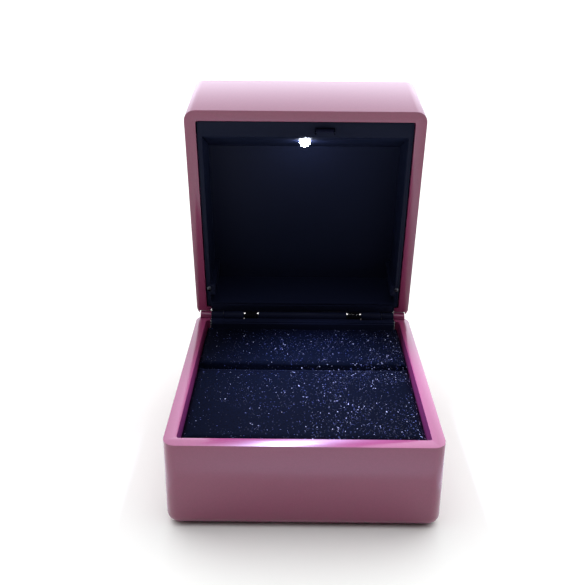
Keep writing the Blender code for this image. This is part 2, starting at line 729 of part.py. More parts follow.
def switch_plunger(b, material):
    """Push tab through the lip, with a shoulder behind it that keeps it in."""
    low = (SWITCH_X - PLUNGER_HALF, PLUNGER_Y, LIP - PLUNGER_PROUD)
    high = (SWITCH_X + PLUNGER_HALF, PLUNGER_Y + PLUNGER_DEPTH, SWITCH_Z - PLUNGER_TRAVEL - CLEAR / 2)
    tab = block("switch_plunger", low, high, b.parts)
    b.finish(tab, material, lid=True, smooth=False)
    shoulder_low = (low[0] - PLUNGER_SHOULDER, PLUNGER_Y - CLEAR / 2, LIP_TOP + CLEAR)
    shoulder_high = (high[0] + PLUNGER_SHOULDER, high[1] + CLEAR, LIP_TOP + CLEAR + SHOULDER_THICK)
    b.join(tab, block("plunger_shoulder", shoulder_low, shoulder_high, b.cutters))


def liner_screws(b, material):
    """Small screws through the liner's tabs into the shell's posts."""
    for side, word in ((-1, "left"), (1, "right")):
        profile = [(0.0, SCREW_LENGTH), (SCREW_RADIUS, SCREW_LENGTH), (SCREW_RADIUS, -CLEAR / 2)]
        profile += [(SCREW_HEAD, -CLEAR / 2), (SCREW_HEAD, -CLEAR / 2 - SCREW_HEAD_THICK)]
        profile.append((0.0, -CLEAR / 2 - SCREW_HEAD_THICK))
        screw = turned(f"liner_screw_{word}", profile, b.parts, steps=16)
        screw.location = screw_centre(side)
        b.finish(screw, material, lid=True, smooth=False)


def open_lid(b):
    """Hang the lid's pieces on an empty on the hinge axis and turn it back."""
    pivot = bpy.data.objects.new("lid_hinge_axis", None)
    pivot.location = AXIS
    b.parts.objects.link(pivot)
    for piece in b.lid_pieces:
        piece.parent = pivot
        piece.matrix_parent_inverse = Matrix.Translation(-AXIS)
    pivot.rotation_euler.x = -OPEN_ANGLE


def main():
    for obj in list(bpy.data.objects):
        bpy.data.objects.remove(obj, do_unlink=True)
    b = Builder()
    lacquer = make_material("rose_lacquer", "c98fb0", 0.22)
    abs_black = make_material("black_plastic", "0b0d16", 0.35)
    velvet = make_material("navy_velvet", "151a33", 0.9)
    card = make_material("grey_card", "8c867c", 0.85)
    felt = make_material("black_felt", "17171a", 0.95)
    steel = make_material("spring_steel", "b9bcc2", 0.3, 1.0)
    lens = make_material("light_lens", "eef4ff", 0.1)
    tinned = make_material("tinned_wire", "c4c6c8", 0.35, 1.0)
    board = make_material("board_green", "1f5a38", 0.5)
    nickel = make_material("nickel_cell", "cfd0d0", 0.25, 1.0)
    chip = make_material("chip_black", "1a1a1c", 0.5)
    white = make_material("switch_white", "d8d6cf", 0.5)
    base_shell(b, lacquer)
    base_underlay(b, felt)
    base_liner(b, abs_black)
    cushion_board(b, card)
    cushions(b, velvet)
    hinge_pins(b, steel)
    hinge_springs(b, steel)
    lid_shell(b, lacquer)
    lid_liner(b, abs_black)
    led_lens(b, lens)
    led_leads(b, tinned)
    circuit_board(b, board)
    coin_cells(b, nickel)
    battery_clips(b, steel)
    resistor(b, chip)
    switch_body(b, white)
    switch_terminals(b, tinned)
    switch_plunger(b, abs_black)
    liner_screws(b, steel)
    open_lid(b)


main()
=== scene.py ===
"""Looks for the lit ring box: lacquered shells, glitter velvet pads, sprung hinge and lid light."""

import json
import math

import bmesh
import bpy
from bpy.props import FloatProperty, FloatVectorProperty, IntProperty, PointerProperty
from bpy.types import Operator, Panel, PropertyGroup
from mathutils import Matrix, Vector


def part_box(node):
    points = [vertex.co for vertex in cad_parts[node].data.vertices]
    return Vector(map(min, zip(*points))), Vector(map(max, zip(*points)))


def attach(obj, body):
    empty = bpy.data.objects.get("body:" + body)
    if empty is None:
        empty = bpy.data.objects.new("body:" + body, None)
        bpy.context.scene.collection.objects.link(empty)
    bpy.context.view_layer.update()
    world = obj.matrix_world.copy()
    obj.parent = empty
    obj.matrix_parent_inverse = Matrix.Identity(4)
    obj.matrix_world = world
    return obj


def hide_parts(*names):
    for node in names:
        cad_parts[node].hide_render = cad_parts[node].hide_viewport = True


bl_info = {
    "name": "Lit ring box",
    "version": (1, 0, 0),
    "blender": (4, 5, 0),
    "location": "View3D > Sidebar > Ring Box",
    "description": "Finishes the lit ring box on its packed frame",
    "category": "Object",
}

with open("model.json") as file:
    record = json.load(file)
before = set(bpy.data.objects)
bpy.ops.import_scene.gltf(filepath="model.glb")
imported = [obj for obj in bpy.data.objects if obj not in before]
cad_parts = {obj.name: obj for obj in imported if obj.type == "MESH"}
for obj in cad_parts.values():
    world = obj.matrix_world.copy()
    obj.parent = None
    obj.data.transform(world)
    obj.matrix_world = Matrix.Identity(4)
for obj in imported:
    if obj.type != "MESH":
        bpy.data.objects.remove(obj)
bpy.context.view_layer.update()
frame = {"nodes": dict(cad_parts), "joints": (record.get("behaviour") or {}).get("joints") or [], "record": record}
NODE_BODY = {node: body for body, nodes in frame["record"]["behaviour"]["bodies"].items() for node in nodes}
MM = 0.001
LID_TURN = math.radians(frame["joints"][0]["range_deg"][1])
HINGE = Vector(frame["joints"][0]["pos_m"])
LID_UP = Vector((0.0, math.sin(LID_TURN), math.cos(LID_TURN)))  # the shut lid's upward direction, at rest

WELD = 0.002 * MM  # points closer than this are one point
CLOTH_SCALE = 20.0  # the pads swell as cloth this many times larger
CLOTH_PRESSURE = 4.0
CLOTH_FRAMES = 20
BEAM_ANGLE = math.radians(80)
BEAM_SOURCE = 5.0 * MM
BEAM_RIGHT = 5 * MM  # the beam meets the front pad this far right of the middle
BEAM_FORWARD = 17 * MM  # and this far in front of the slot
FLOOR_HALF = 6.0  # metres
DOME_WAY = (0.0, 0.64, 0.77)  # towards the middle of the bright part of the dome
DOME_EDGE = 0.9  # cosine at which the dome reaches its full brightness
DOME_TINT = (1.0, 0.95, 1.09, 1)
CAMERA_LENS = 46.35
CAMERA_SHIFT = -0.0897
CAMERA_PLACE = Vector((-2.67, -177.42, 125.5)) * MM
CAMERA_PITCH = 0.3518
CAMERA_YAW = 0.0028
CAMERA_ROLL = 0.008


def linear(code):
    """Linear RGBA of an sRGB hex code."""
    parts = [int(code[i : i + 2], 16) / 255 for i in (1, 3, 5)]
    return (*[c / 12.92 if c <= 0.04045 else ((c + 0.055) / 1.055) ** 2.4 for c in parts], 1.0)


# Settings


class ShellSettings(PropertyGroup):
    """Lacquered shells and moulded liners"""

    rim_round: FloatProperty(
        name="Rim rounding",
        description="Width of the rounding on the rims",
        default=0.22 * MM,
        unit="LENGTH",
    )
    moulding_round: FloatProperty(
        name="Moulding rounding",
        description="Width of the rounding on the liners",
        default=0.18 * MM,
        unit="LENGTH",
    )
    lacquer: FloatVectorProperty(
        name="Lacquer",
        description="Colour of the lacquer",
        default=linear("#853055")[:3],
        subtype="COLOR",
    )
    moulding: FloatVectorProperty(
        name="Moulding",
        description="Colour of the liners",
        default=linear("#161b2e")[:3],
        subtype="COLOR",
    )


class PadSettings(PropertyGroup):
    """Velvet pads and their glitter"""

    inset: FloatProperty(
        name="Inset",
        description="How much smaller the pad starts than its room",
        default=0.15 * MM,
        unit="LENGTH",
    )
    top: FloatProperty(
        name="Free top",
        description="Height of the top that swells; it is held below",
        default=2.6 * MM,
        unit="LENGTH",
    )
    cap: FloatProperty(
        name="Swell limit",
        description="Furthest that a point of the pad may swell",
        default=0.9 * MM,
        unit="LENGTH",
    )
    cell: FloatProperty(
        name="Cell",
        description="Size of the pad's mesh cells",
        default=0.7 * MM,
        unit="LENGTH",
    )
    flakes: FloatProperty(
        name="Flakes",
        description="Glitter flakes per square metre",
        default=2.2e6,
        min=0.0,
        soft_max=2.0e7,
    )
    flake_size: FloatProperty(
        name="Flake size",
        description="Width of a glitter flake",
        default=0.26 * MM,
        unit="LENGTH",
    )
    seed: IntProperty(
        name="Seed",
        description="Scatter seed of the glitter",
        default=7,
    )


class HingeSettings(PropertyGroup):
    """Hinge springs"""

    wire: FloatProperty(
        name="Wire",
        description="Radius of the spring wire",
        default=0.25 * MM,
        unit="LENGTH",
    )
    turns: FloatProperty(
        name="Turns",
        description="Turns of each spring",
        default=7.6,
        min=1.0,
    )


class LightSettings(PropertyGroup):
    """Light in the lid"""

    glow: FloatVectorProperty(
        name="Glow",
        description="Colour of the lid light",
        default=linear("#dfe8ff")[:3],
        subtype="COLOR",
    )
    beam_tint: FloatVectorProperty(
        name="Beam tint",
        description="Colour of the light it throws",
        default=linear("#c3ccff")[:3],
        subtype="COLOR",
    )
    lens_strength: FloatProperty(
        name="Lens strength",
        description="Brightness of the lens",
        default=90.0,
    )
    beam_watts: FloatProperty(
        name="Beam",
        description="Power of the beam",
        default=0.9,
        unit="POWER",
    )


class StageSettings(PropertyGroup):
    """Floor and studio light"""

    floor: FloatVectorProperty(
        name="Floor",
        description="Colour of the floor",
        default=linear("#f5fcec")[:3],
        subtype="COLOR",
    )
    dome: FloatProperty(
        name="Dome",
        description="Brightness of the soft dome overhead",
        default=2.25,
    )
    surround: FloatProperty(
        name="Surround",
        description="Brightness of the unlit side of the studio",
        default=0.04,
    )


# Materials


def new_material(name):
    """Material with an empty tree but for its output and a Principled shader."""
    material = bpy.data.materials.new(name)
    material.use_nodes = True
    return material, material.node_tree, material.node_tree.nodes["Principled BSDF"]


def add(tree, kind, sockets=None, **settings):
    """Add a node with its settings, and link or set its sockets."""
    node = tree.nodes.new(kind)
    for key, value in settings.items():
        setattr(node, key, value)
    for key, value in (sockets or {}).items():
        if isinstance(value, bpy.types.NodeSocket):
            tree.links.new(value, node.inputs[key])
        else:
            node.inputs[key].default_value = value
    return node


def ramp(tree, factor, stops):
    """Colour ramp over a factor; stops are (position, colour), from low to high."""
    node = add(tree, "ShaderNodeValToRGB", {"Fac": factor})
    elements = node.color_ramp.elements
    while len(elements) < len(stops):
        elements.new(0.5)
    for element, (position, colour) in zip(elements, stops):
        element.position = position
        element.color = colour
    return node.outputs["Color"]


def grey(value):
    """Opaque grey of one value, for a ramp that drives a number."""
    return (value, value, value, 1)


def bump(tree, shader, height, distance):
    """Raise a shader's surface by a pattern, up to a distance in metres."""
    node = add(tree, "ShaderNodeBump", {"Height": height, "Distance": distance, "Strength": 1.0})
    tree.links.new(node.outputs["Normal"], shader.inputs["Normal"])


def place(tree):
    """Position on the piece, in metres."""
    return add(tree, "ShaderNodeTexCoord").outputs["Object"]


def pearl_lacquer(settings):
    """Pearl lacquer, sprayed on moulded ABS under a clear coat: a soft rose with a wet shine.

    Its mica is finer than shows; the cells are drawn 0.28 mm wide. The faint peel is 2.5 mm across.
    """
    material, tree, shader = new_material("Pearl_rose_lacquer")
    where = place(tree)
    flake = add(tree, "ShaderNodeTexVoronoi", {"Vector": where, "Scale": 1 / (0.28 * MM)})
    spread = ramp(tree, flake.outputs["Color"], [(0.0, grey(0.94)), (1.0, grey(1.05))])
    tint = add(tree, "ShaderNodeMix", {"Factor": 1.0}, data_type="RGBA", blend_type="MULTIPLY")
    tint.inputs["A"].default_value = (*settings.lacquer, 1)
    tree.links.new(spread, tint.inputs["B"])
    tree.links.new(tint.outputs["Result"], shader.inputs["Base Color"])
    shader.inputs["Roughness"].default_value = 0.34
    shader.inputs["Sheen Weight"].default_value = 0.12
    shader.inputs["Sheen Roughness"].default_value = 0.3
    shader.inputs["Sheen Tint"].default_value = linear("#a67cff")
    shader.inputs["Coat Weight"].default_value = 1.0
    shader.inputs["Coat Roughness"].default_value = 0.14
    shader.inputs["Specular IOR Level"].default_value = 0.3
    peel = add(tree, "ShaderNodeTexNoise", {"Vector": where, "Scale": 1 / (2.5 * MM), "Detail": 1.0})
    bump(tree, shader, peel.outputs["Fac"], 0.004 * MM)
    return material


def moulded_abs(settings):
    """Black ABS, injection moulded with a fine spark-eroded texture: satin, slightly blue."""
    material, tree, shader = new_material("Moulded_black_ABS")
    where = place(tree)
    shader.inputs["Base Color"].default_value = (*settings.moulding, 1)
    grain = add(tree, "ShaderNodeTexNoise", {"Vector": where, "Scale": 1 / (0.5 * MM), "Detail": 2.0})
    polish = add(tree, "ShaderNodeTexNoise", {"Vector": where, "Scale": 1 / (9 * MM), "Detail": 2.0})
    rough = ramp(tree, polish.outputs["Fac"], [(0.3, grey(0.42)), (0.7, grey(0.52))])
    tree.links.new(rough, shader.inputs["Roughness"])
    shader.inputs["Specular IOR Level"].default_value = 0.06
    bump(tree, shader, grain.outputs["Fac"], 0.01 * MM)
    return material


def glitter_velvet():
    """Short-pile polyester velvet, matt navy-black; its tufts are drawn 0.35 mm wide so that they show."""
    material, tree, shader = new_material("Navy_glitter_velvet")
    where = place(tree)
    pile = add(tree, "ShaderNodeTexNoise", {"Vector": where, "Scale": 1 / (0.35 * MM), "Detail": 3.0})
    shade = ramp(tree, pile.outputs["Fac"], [(0.3, linear("#010208")), (0.7, linear("#030714"))])
    tree.links.new(shade, shader.inputs["Base Color"])
    shader.inputs["Roughness"].default_value = 0.85
    shader.inputs["Sheen Weight"].default_value = 0.01
    shader.inputs["Sheen Roughness"].default_value = 0.4
    shader.inputs["Sheen Tint"].default_value = linear("#5d6bb0")
    shader.inputs["Specular IOR Level"].default_value = 0.02
    bump(tree, shader, pile.outputs["Fac"], 0.08 * MM)
    return material


def glitter_flake():
    """Cut polyester glitter with painted sparkle: each flake has one random tone, most of them dull blue and dark
    as painted shade, and a few bright cool white as painted glints.

    Real flakes are finer; these are drawn wide enough to show.
    """
    material, tree, shader = new_material("Glitter_flake_painted_sparkle")
    each = add(tree, "ShaderNodeNewGeometry").outputs["Random Per Island"]
    # painted sparkle: the bright white tone is a painted glint and the dark tones are painted shade, dealt to the
    # flakes at random
    painted_sparkle_tones = [(0.0, "#010206"), (0.6, "#0c1130"), (0.88, "#3d4a86"), (1.0, "#e6ebff")]
    shade = ramp(tree, each, [(share, linear(code)) for share, code in painted_sparkle_tones])
    tree.links.new(shade, shader.inputs["Base Color"])
    shader.inputs["Metallic"].default_value = 0.5
    shader.inputs["Roughness"].default_value = 0.4
    return material


def drawn_steel(name, code, roughness):
    """Drawn or rolled metal in the colour of its plate or oxide, with fine lines along X."""
    material, tree, shader = new_material(name)
    stretch = add(tree, "ShaderNodeMapping", {"Vector": place(tree), "Scale": (0.12, 1.0, 1.0)})
    lines = add(tree, "ShaderNodeTexNoise", {"Vector": stretch.outputs["Vector"], "Scale": 1 / (0.12 * MM)})
    shader.inputs["Base Color"].default_value = linear(code)
    shader.inputs["Metallic"].default_value = 1.0
    rough = ramp(tree, lines.outputs["Fac"], [(0.3, grey(roughness - 0.06)), (0.7, grey(roughness + 0.08))])
    tree.links.new(rough, shader.inputs["Roughness"])
    return material


def plain_grained(name, low, high, grain, roughness, depth):
    """Matt material with a random grain of a given size between two colours."""
    material, tree, shader = new_material(name)
    noise = add(tree, "ShaderNodeTexNoise", {"Vector": place(tree), "Scale": 1 / grain, "Detail": 4.0})
    shade = ramp(tree, noise.outputs["Fac"], [(0.3, linear(low)), (0.7, linear(high))])
    tree.links.new(shade, shader.inputs["Base Color"])
    shader.inputs["Roughness"].default_value = roughness
    bump(tree, shader, noise.outputs["Fac"], depth)
    return material


def epoxy_lens(settings):
    """Clear epoxy dome, cast over the light's chip and lit from inside: a cool white glow."""
    material, tree, shader = new_material("Lit_epoxy_lens")
    shader.inputs["Base Color"].default_value = (*settings.glow, 1)
    shader.inputs["Roughness"].default_value = 0.08
    shader.inputs["Emission Color"].default_value = (*settings.glow, 1)
    shader.inputs["Emission Strength"].default_value = settings.lens_strength
    return material


# Shapes


def linked(name, data):
    """New object for some data, in the scene."""
    made = bpy.data.objects.new(name, data)
    bpy.context.scene.collection.objects.link(made)
    return made


def mesh_of(bm, name):
    """New mesh from a bmesh, which is freed."""
    mesh = bpy.data.meshes.new(name)
    bm.to_mesh(mesh)
    bm.free()
    return mesh


def show(mesh_object, node):
    """Let a finished piece stand for a CAD node and move with its body."""
    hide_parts(node)
    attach(mesh_object, NODE_BODY[node])
    return mesh_object


def frozen(obj, name):
    """Plain mesh object made from an object as its modifiers leave it; the source goes."""
    bpy.context.view_layer.update()
    mesh = bpy.data.meshes.new_from_object(obj.evaluated_get(bpy.context.evaluated_depsgraph_get()))
    mesh.name = name
    bpy.data.objects.remove(obj, do_unlink=True)
    return linked(name, mesh)


def finish_node(node, name, material, width, segments=2):
    """Copy of a CAD node with its flat faces merged and its sharp edges rounded."""
    bm = bmesh.new()
    bm.from_mesh(frame["nodes"][node].data)
    bmesh.ops.remove_doubles(bm, verts=bm.verts[:], dist=WELD)
    bmesh.ops.dissolve_limit(bm, angle_limit=math.radians(0.5), verts=bm.verts[:], edges=bm.edges[:])
    mesh = mesh_of(bm, name)
    obj = linked(name, mesh)
    mesh.shade_smooth()
    if width > 0:
        bevel = obj.modifiers.new("Rounding", "BEVEL")
        bevel.width = width
        bevel.segments = segments
        bevel.limit_method = "ANGLE"
        bevel.angle_limit = math.radians(40)
        bevel.harden_normals = True
    made = frozen(obj, name)
    made.data.materials.clear()
    made.data.materials.append(material)
    if width <= 0:
        made.data.set_sharp_from_angle(angle=math.radians(35))
    return show(made, node)


def turned_piece(name, material, profile, centre, axis, steps=40):
    """Solid of revolution whose (radius, height) profile runs along an axis from its centre."""
    bm = bmesh.new()
    rim = [bm.verts.new((radius, 0.0, height)) for radius, height in profile]
    edges = [bm.edges.new(pair) for pair in zip(rim, rim[1:])]
    bmesh.ops.spin(bm, geom=rim + edges, cent=(0, 0, 0), axis=(0, 0, 1), angle=math.tau, steps=steps)
    bmesh.ops.remove_doubles(bm, verts=bm.verts[:], dist=0.000001)
    bmesh.ops.recalc_face_normals(bm, faces=bm.faces[:])
    lean = Vector(axis).to_track_quat("Z", "X").to_matrix().to_4x4()
    bmesh.ops.transform(bm, matrix=Matrix.Translation(centre) @ lean, verts=bm.verts[:])
    mesh = mesh_of(bm, name)
    mesh.shade_smooth()
    mesh.set_sharp_from_angle(angle=math.radians(35))
    mesh.materials.append(material)
    return linked(name, mesh)


def swollen_pad(node, name, settings):
    """Foam pad in velvet: a shape a little smaller than its room, blown up as cloth until it fills it.

    The cloth is worked out much larger, where its weight and stiffness suit the solver.
    """
    low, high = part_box(node)
    middle = (low + high) / 2
    half = (high - low) / 2
    bm = bmesh.new()
    bm.from_mesh(frame["nodes"][node].data)
    bmesh.ops.remove_doubles(bm, verts=bm.verts[:], dist=WELD)
    slim = [(size - settings.inset) / size * CLOTH_SCALE for size in half]
    enlarge = Matrix.Diagonal((*slim, 1.0)) @ Matrix.Translation(-middle)
    bmesh.ops.transform(bm, matrix=enlarge, verts=bm.verts[:])
    cage = linked(name, mesh_of(bm, name))
    remesh = cage.modifiers.new("Cells", "REMESH")
    remesh.mode = "VOXEL"
    remesh.voxel_size = settings.cell * CLOTH_SCALE
    pad = frozen(cage, name)
    pad = blown_up(pad, name, settings.cap * CLOTH_SCALE, (half.z - settings.top) * CLOTH_SCALE)
    for vertex in pad.data.vertices:
        point = vertex.co / CLOTH_SCALE
        for axis in range(3):
            point[axis] = max(-half[axis], min(half[axis], point[axis]))
        vertex.co = point + middle
    smooth = pad.modifiers.new("Even", "SMOOTH")
    smooth.iterations = 1
    fine = pad.modifiers.new("Fine", "SUBSURF")
    fine.levels = 1
    fine.render_levels = 1
    made = frozen(pad, name)
    reach = [max(abs(v.co[axis] - middle[axis]) for v in made.data.vertices) for axis in range(2)]
    for vertex in made.data.vertices:
        for axis in range(2):
            vertex.co[axis] = middle[axis] + (vertex.co[axis] - middle[axis]) * (half[axis] / reach[axis])
    made.data.shade_smooth()
    return made


def blown_up(pad, name, cap, held_below):
    """Cloth under pressure, held near its underside, with no point moved past the cap."""
    group = pad.vertex_groups.new(name="held")
    group.add([v.index for v in pad.data.vertices if v.co.z < held_below], 1.0, "REPLACE")
    start = [v.co.copy() for v in pad.data.vertices]
    cloth = pad.modifiers.new("Cloth", "CLOTH")
    cloth.settings.use_pressure = True
    cloth.settings.uniform_pressure_force = CLOTH_PRESSURE
    cloth.settings.vertex_group_mass = "held"
    cloth.settings.effector_weights.gravity = 0.0
    scene = bpy.context.scene
    for number in range(1, CLOTH_FRAMES + 1):
        scene.frame_set(number)
    made = frozen(pad, name)
    for vertex, rest in zip(made.data.vertices, start):
        move = vertex.co - rest
        if move.length > cap:
            vertex.co = rest + move * (cap / move.length)
    scene.frame_set(1)
    return made


def glitter_tree(name):
    """Node tree that scatters tilted flat cones over the upper faces of a pad.

    They lie thicker towards the pad's right, a painted pool of sparkle where the lid light falls, and in soft
    patches about 9 mm across.
    """
    tree = bpy.data.node_groups.new(name, "GeometryNodeTree")
    face = tree.interface
    face.new_socket("Pad", in_out="INPUT", socket_type="NodeSocketGeometry")
    for label in ("Density", "Flake Size"):
        face.new_socket(label, in_out="INPUT", socket_type="NodeSocketFloat")
    face.new_socket("Seed", in_out="INPUT", socket_type="NodeSocketInt")
    face.new_socket("Material", in_out="INPUT", socket_type="NodeSocketMaterial")
    face.new_socket("Flakes", in_out="OUTPUT", socket_type="NodeSocketGeometry")
    given = add(tree, "NodeGroupInput").outputs
    normal = add(tree, "GeometryNodeInputNormal")
    up = add(tree, "ShaderNodeSeparateXYZ", {0: normal.outputs[0]})
    facing = add(tree, "ShaderNodeMath", {0: up.outputs["Z"], 1: 0.15}, operation="GREATER_THAN")
    upper = {"Mesh": given["Pad"], "Selection": facing.outputs[0]}
    points = add(tree, "GeometryNodeDistributePointsOnFaces", upper)
    across = add(tree, "ShaderNodeSeparateXYZ", {0: add(tree, "GeometryNodeInputPosition").outputs[0]})
    # painted light: more flakes, and so more painted glints, towards the right where the lid light falls
    painted_sparkle_pool = add(tree, "ShaderNodeMapRange", {"Value": across.outputs["X"]}, interpolation_type="SMOOTHSTEP")
    for label, value in (("From Min", -0.03), ("From Max", 0.02), ("To Min", 0.25), ("To Max", 1.0)):
        painted_sparkle_pool.inputs[label].default_value = value
    patch = add(tree, "ShaderNodeTexNoise", {"Scale": 1 / (9 * MM), "Detail": 1.0})
    cloud = add(tree, "ShaderNodeMapRange", {"Value": patch.outputs["Fac"]})
    for label, value in (("From Min", 0.3), ("From Max", 0.7), ("To Min", 0.35), ("To Max", 1.5)):
        cloud.inputs[label].default_value = value
    share = add(tree, "ShaderNodeMath", {0: painted_sparkle_pool.outputs[0], 1: cloud.outputs[0]}, operation="MULTIPLY")
    density = add(tree, "ShaderNodeMath", {0: share.outputs[0], 1: given["Density"]}, operation="MULTIPLY")
    tree.links.new(density.outputs[0], points.inputs["Density"])
    tree.links.new(given["Seed"], points.inputs["Seed"])
    shape = {"Vertices": 5, "Radius Top": 0.0, "Radius Bottom": 0.5, "Depth": 0.25}
    cone = add(tree, "GeometryNodeMeshCone", shape)
    lean = {0: (-0.5, -0.5, -3.14), 1: (0.5, 0.5, 3.14)}
    tilt = add(tree, "FunctionNodeRandomValue", lean, data_type="FLOAT_VECTOR")
    tree.links.new(given["Seed"], tilt.inputs["Seed"])
    turn = add(tree, "FunctionNodeRotateRotation", {0: points.outputs["Rotation"], 1: tilt.outputs[0]})
    turn.rotation_space = "LOCAL"
    size = add(tree, "FunctionNodeRandomValue", {2: 0.45, 3: 1.15}, data_type="FLOAT")
    tree.links.new(given["Seed"], size.inputs["Seed"])
    scale = add(tree, "ShaderNodeMath", {0: size.outputs[1], 1: given["Flake Size"]}, operation="MULTIPLY")
    spots = {"Points": points.outputs["Points"], "Rotation": turn.outputs[0]}
    spots["Instance"] = cone.outputs["Mesh"]
    flakes = add(tree, "GeometryNodeInstanceOnPoints", spots)
    tree.links.new(scale.outputs[0], flakes.inputs["Scale"])
    return painted_output(tree, flakes.outputs[0], given["Material"])


def painted_output(tree, shape, material):
    """End of a node tree: real geometry with its material."""
    real = add(tree, "GeometryNodeRealizeInstances", {0: shape})
    painted = add(tree, "GeometryNodeSetMaterial", {"Geometry": real.outputs[0], "Material": material})
    add(tree, "NodeGroupOutput", {0: painted.outputs[0]})
    return tree


def set_inputs(modifier, values):
    """Set a Geometry Nodes modifier's named inputs by their sockets' identifiers."""
    for item in modifier.node_group.interface.items_tree:
        wanted = item.item_type == "SOCKET" and item.in_out == "INPUT"
        if wanted and item.name in values:
            modifier[item.identifier] = values[item.name]


def spring_tree(name):
    """Node tree for a torsion spring: a close-wound spiral of round wire with one straight leg."""
    tree = bpy.data.node_groups.new(name, "GeometryNodeTree")
    face = tree.interface
    face.new_socket("Start", in_out="INPUT", socket_type="NodeSocketGeometry")
    for label in ("Turns", "Coil Radius", "Length", "Wire Radius", "Leg"):
        face.new_socket(label, in_out="INPUT", socket_type="NodeSocketFloat")
    face.new_socket("Material", in_out="INPUT", socket_type="NodeSocketMaterial")
    face.new_socket("Spring", in_out="OUTPUT", socket_type="NodeSocketGeometry")
    given = add(tree, "NodeGroupInput").outputs
    spiral = add(tree, "GeometryNodeCurveSpiral", {"Resolution": 24, "Rotations": given["Turns"]})
    tree.links.new(given["Coil Radius"], spiral.inputs["Start Radius"])
    tree.links.new(given["Coil Radius"], spiral.inputs["End Radius"])
    tree.links.new(given["Length"], spiral.inputs["Height"])
    down = add(tree, "ShaderNodeMath", {0: given["Leg"], 1: -1.0}, operation="MULTIPLY")
    top = add(tree, "ShaderNodeCombineXYZ", {"X": given["Coil Radius"]})
    foot = add(tree, "ShaderNodeCombineXYZ", {"X": given["Coil Radius"], "Y": down.outputs[0]})
    leg = add(tree, "GeometryNodeCurvePrimitiveLine", {"Start": top.outputs[0], "End": foot.outputs[0]})
    both = add(tree, "GeometryNodeJoinGeometry")
    tree.links.new(spiral.outputs[0], both.inputs[0])
    tree.links.new(leg.outputs[0], both.inputs[0])
    ring = add(tree, "GeometryNodeCurvePrimitiveCircle", {"Resolution": 12, "Radius": given["Wire Radius"]})
    sweep = {"Curve": both.outputs[0], "Profile Curve": ring.outputs[0], "Fill Caps": True}
    tube = add(tree, "GeometryNodeCurveToMesh", sweep)
    return painted_output(tree, tube.outputs[0], given["Material"])


def wound_spring(node, side, wire, turns, tree, material):
    """Spring wound along local Z, then laid along the hinge axis; the left one is its mirror image."""
    low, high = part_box(node)
    carrier = linked(node, bpy.data.meshes.new(node))
    coil = carrier.modifiers.new("Coil", "NODES")
    coil.node_group = tree
    values = {"Turns": turns, "Coil Radius": high.y - HINGE.y - wire, "Length": high.x - low.x - 2 * wire}
    values.update({"Wire Radius": wire, "Leg": HINGE.z - low.z, "Material": material})
    set_inputs(coil, values)
    made = frozen(carrier, f"{node}_wound")
    start = low.x + wire if side > 0 else high.x - wire
    lay = Matrix(((0, 0, side, start), (1, 0, 0, HINGE.y), (0, 1, 0, HINGE.z), (0, 0, 0, 1)))
    made.data.transform(lay)
    if side < 0:
        made.data.flip_normals()
    made.data.shade_smooth()
    made.data.set_sharp_from_angle(angle=math.radians(50))
    return show(made, node)


def coin_cell(node, name, material):
    """Button cell: a rolled can, a gasket groove round its cap, and a shallow dish in the can's face."""
    low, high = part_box(node)
    radius = (high.x - low.x) / 2
    spread = (high.y - low.y) / 2
    half = (spread - radius * LID_UP.z) / LID_UP.y
    profile = [(0.0, -half), (radius - 1.3 * MM, -half), (radius - 1.1 * MM, -half + 0.12 * MM)]
    profile += [(radius - 0.95 * MM, -half + 0.12 * MM), (radius - 0.8 * MM, -half)]
    profile += [(radius - 0.35 * MM, -half)]
    profile += [(radius - 0.1 * MM, -half + 0.1 * MM), (radius, -half + 0.35 * MM), (radius, half - 0.7 * MM)]
    profile += [(radius - 0.12 * MM, half - 0.45 * MM), (radius - 0.5 * MM, half - 0.35 * MM)]
    profile += [(radius - 0.62 * MM, half - 0.6 * MM), (radius - 0.78 * MM, half - 0.6 * MM)]
    profile += [(radius - 0.85 * MM, half - 0.12 * MM), (radius - 1.0 * MM, half), (0.0, half)]
    return show(turned_piece(name, material, profile, (low + high) / 2, LID_UP), node)


def liner_screw(node, name, material):
    """Pan-head screw with a cross recess and a threaded shank."""
    low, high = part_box(node)
    radius = (high.x - low.x) / 2
    thick = 0.4 * MM
    shank = radius * 0.54
    spread = (high.y - low.y) / LID_UP.y - radius * LID_UP.z / LID_UP.y
    profile = [(0.0, 0.0), (radius * 0.6, 0.04 * MM), (radius * 0.9, 0.14 * MM), (radius, thick * 0.7)]
    profile += [(radius, thick), (shank, thick)]
    height = thick + 0.2 * MM
    while height + 0.4 * MM < spread - shank * LID_UP.z:
        profile += [(shank, height), (shank * 0.78, height + 0.14 * MM), (shank, height + 0.28 * MM)]
        height += 0.34 * MM
    profile += [(shank * 0.5, height + 0.2 * MM), (0.0, height + 0.3 * MM)]
    face = Vector(((low.x + high.x) / 2, low.y + radius * LID_UP.z, high.z - radius * LID_UP.y))
    blank = turned_piece(f"{name}_blank", material, profile, face, LID_UP, 32)
    lean = Matrix.Translation(face) @ LID_UP.to_track_quat("Z", "X").to_matrix().to_4x4()
    for wide, narrow in ((1.3 * radius, 0.26 * radius), (0.26 * radius, 1.3 * radius)):
        bm = bmesh.new()
        bmesh.ops.create_cube(bm, size=1.0, matrix=lean @ Matrix.Diagonal((wide, narrow, 0.5 * MM, 1.0)))
        driver = linked(f"{name}_driver", mesh_of(bm, f"{name}_driver"))
        recess = blank.modifiers.new("Recess", "BOOLEAN")
        recess.object = driver
        recess.solver = "EXACT"
        blank = frozen(blank, name)
        bpy.data.objects.remove(driver, do_unlink=True)
    return show(blank, node)


# Operators


class RINGBOX_OT_shells(Operator):
    """Lacquer the two shells and round their rims"""

    bl_idname = "ringbox.shells"
    bl_label = "Lacquered shells"

    def execute(self, context):
        settings = context.scene.ringbox_shell
        lacquer = pearl_lacquer(settings)
        for node in ("base_shell", "lid_shell"):
            finish_node(node, f"{node}_lacquered", lacquer, settings.rim_round, 3)
        return {"FINISHED"}


